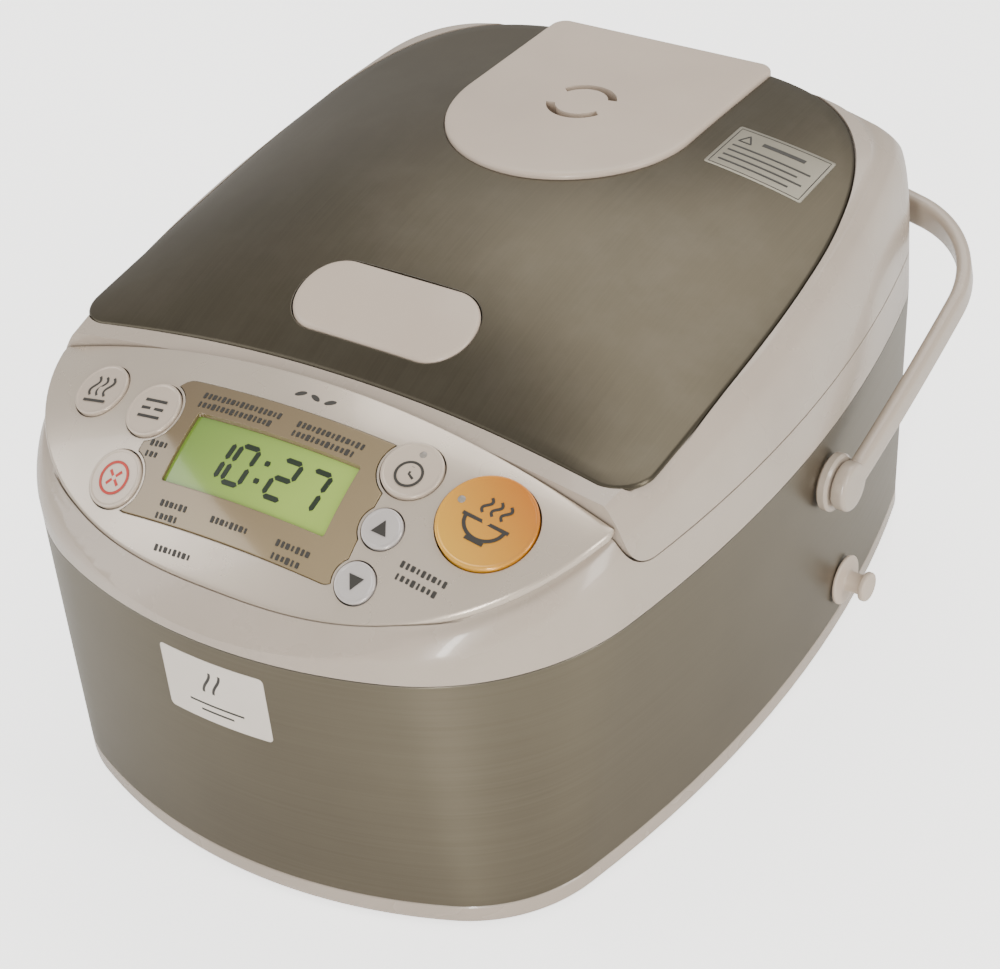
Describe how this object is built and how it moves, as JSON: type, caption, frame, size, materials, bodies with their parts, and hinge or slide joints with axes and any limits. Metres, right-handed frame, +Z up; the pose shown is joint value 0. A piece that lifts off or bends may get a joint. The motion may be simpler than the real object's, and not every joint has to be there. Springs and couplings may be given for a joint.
{
  "type": "rice cooker",
  "caption": "Small electric rice cooker: stainless body, domed hinged lid, steam cap, sloping button panel with display, inner pan and swing handle.",
  "frame": {"origin": "on the floor under the middle of the object's bounding box, handle lying back", "axes": "+Z up; the control panel faces -Y; +X is the right-hand side for a user facing the panel, with the cook button and the hook"},
  "size_m": [0.2378, 0.3015, 0.1651],
  "materials": {
    "body_plastic": "satin moulded ABS, warm light grey",
    "brushed_body": "brushed stainless sheet, brushed around the body",
    "brushed_lid": "brushed stainless sheet with a darker clear coat",
    "cap_plastic": "satin moulded ABS, lighter warm grey",
    "panel_silver": "metallic silver paint under a gloss coat",
    "window_bronze": "clear acrylic, back-printed bronze",
    "lcd_green": "yellow-green liquid crystal glass",
    "button_silver": "satin silver cap",
    "cook_orange": "gold-orange gloss cap",
    "circuit_board": "solder-masked laminate",
    "aluminium": "spun and cast aluminium",
    "pan_coating": "dark non-stick coating on aluminium",
    "plated_steel": "zinc-plated steel",
    "rubber_grey": "matt rubber",
    "rubber_black": "matt rubber",
    "silicone": "soft silicone"
  },
  "bodies": {
    "cooker_body": {"base_tray": "body_plastic", "foot_1": "rubber_grey", "foot_2": "rubber_grey", "foot_3": "rubber_grey", "foot_4": "rubber_grey", "base_screw_1": "plated_steel", "base_screw_2": "plated_steel", "base_screw_3": "plated_steel", "base_screw_4": "plated_steel", "outer_shell": "brushed_body", "cord_gland": "rubber_black", "spatula_hook": "body_plastic", "upper_frame": "body_plastic", "panel_cover": "panel_silver", "lcd_window": "window_bronze", "lcd_module": "lcd_green", "control_board": "circuit_board", "inner_housing": "aluminium", "side_heater": "plated_steel", "heating_plate": "aluminium", "sensor_bracket": "plated_steel", "sensor_spring": "plated_steel", "power_board": "circuit_board", "inner_pan": "pan_coating", "handle_boss_right": "body_plastic", "handle_boss_left": "body_plastic", "handle_pin_right": "plated_steel", "handle_pin_left": "plated_steel", "hinge_pin": "plated_steel", "hinge_spring": "plated_steel"},
    "lid": {"lid_frame": "body_plastic", "lid_top_plate": "brushed_lid", "lid_inner_cover": "body_plastic", "inner_lid": "aluminium", "inner_lid_gasket": "silicone", "steam_duct": "cap_plastic", "open_button_spring": "plated_steel"},
    "handle": {"handle": "body_plastic"},
    "steam_cap": {"steam_cap": "cap_plastic"},
    "open_button": {"open_button": "cap_plastic"},
    "lid_latch": {"lid_latch": "cap_plastic"},
    "centre_sensor": {"centre_sensor": "aluminium"},
    "button_cook": {"button_cook": "cook_orange"},
    "button_timer": {"button_timer": "button_silver"},
    "button_hour_up": {"button_hour_up": "button_silver"},
    "button_hour_down": {"button_hour_down": "button_silver"},
    "button_keep_warm": {"button_keep_warm": "button_silver"},
    "button_menu": {"button_menu": "button_silver"},
    "button_reset": {"button_reset": "button_silver"}
  },
  "joints": [
    {"name": "lid_hinge", "type": "hinge", "parent": "cooker_body", "child": "lid", "pos_m": [0, 0.1235, 0.122], "axis": [-1, 0, 0], "range_deg": [0, 72]},
    {"name": "handle_swing", "type": "hinge", "parent": "cooker_body", "child": "handle", "pos_m": [0, 0.0225, 0.076], "axis": [1, 0, 0], "range_deg": [0, 75]},
    {"name": "steam_cap_lift", "type": "slide", "parent": "lid", "child": "steam_cap", "axis": [0, 0, 1], "range_m": [0, 0.03]},
    {"name": "open_button_press", "type": "slide", "parent": "lid", "child": "open_button", "axis": [0, 0, -1], "range_m": [0, 0.0025], "stiffness_N_per_m": 600, "springref_m": -0.001, "deforming": ["open_button_spring"]},
    {"name": "latch_slide", "type": "slide", "parent": "lid", "child": "lid_latch", "axis": [0, 1, 0], "range_m": [0, 0.0025]},
    {"name": "sensor_travel", "type": "slide", "parent": "cooker_body", "child": "centre_sensor", "axis": [0, 0, -1], "range_m": [0, 0.0015], "stiffness_N_per_m": 400, "springref_m": -0.002, "deforming": ["sensor_spring"]},
    {"name": "press_cook", "type": "slide", "parent": "cooker_body", "child": "button_cook", "axis": [-0.1657, 0.3785, -0.9107], "range_m": [0, 0.0012], "stiffness_N_per_m": 500, "springref_m": -0.0005},
    {"name": "press_timer", "type": "slide", "parent": "cooker_body", "child": "button_timer", "axis": [-0.1027, 0.3363, -0.9361], "range_m": [0, 0.0012], "stiffness_N_per_m": 500, "springref_m": -0.0005},
    {"name": "press_hour_up", "type": "slide", "parent": "cooker_body", "child": "button_hour_up", "axis": [-0.0961, 0.5082, -0.8559], "range_m": [0, 0.0012], "stiffness_N_per_m": 500, "springref_m": -0.0005},
    {"name": "press_hour_down", "type": "slide", "parent": "cooker_body", "child": "button_hour_down", "axis": [-0.0869, 0.6134, -0.785], "range_m": [0, 0.0012], "stiffness_N_per_m": 500, "springref_m": -0.0005},
    {"name": "press_keep_warm", "type": "slide", "parent": "cooker_body", "child": "button_keep_warm", "axis": [0.1719, 0.3728, -0.9118], "range_m": [0, 0.0012], "stiffness_N_per_m": 500, "springref_m": -0.0005},
    {"name": "press_menu", "type": "slide", "parent": "cooker_body", "child": "button_menu", "axis": [0.1143, 0.41, -0.9049], "range_m": [0, 0.0012], "stiffness_N_per_m": 500, "springref_m": -0.0005},
    {"name": "press_reset", "type": "slide", "parent": "cooker_body", "child": "button_reset", "axis": [0.1021, 0.5847, -0.8048], "range_m": [0, 0.0012], "stiffness_N_per_m": 500, "springref_m": -0.0005}
  ],
  "couplings": [
    {"joint": "latch_slide", "follows": "open_button_press", "ratio": 1}
  ]
}
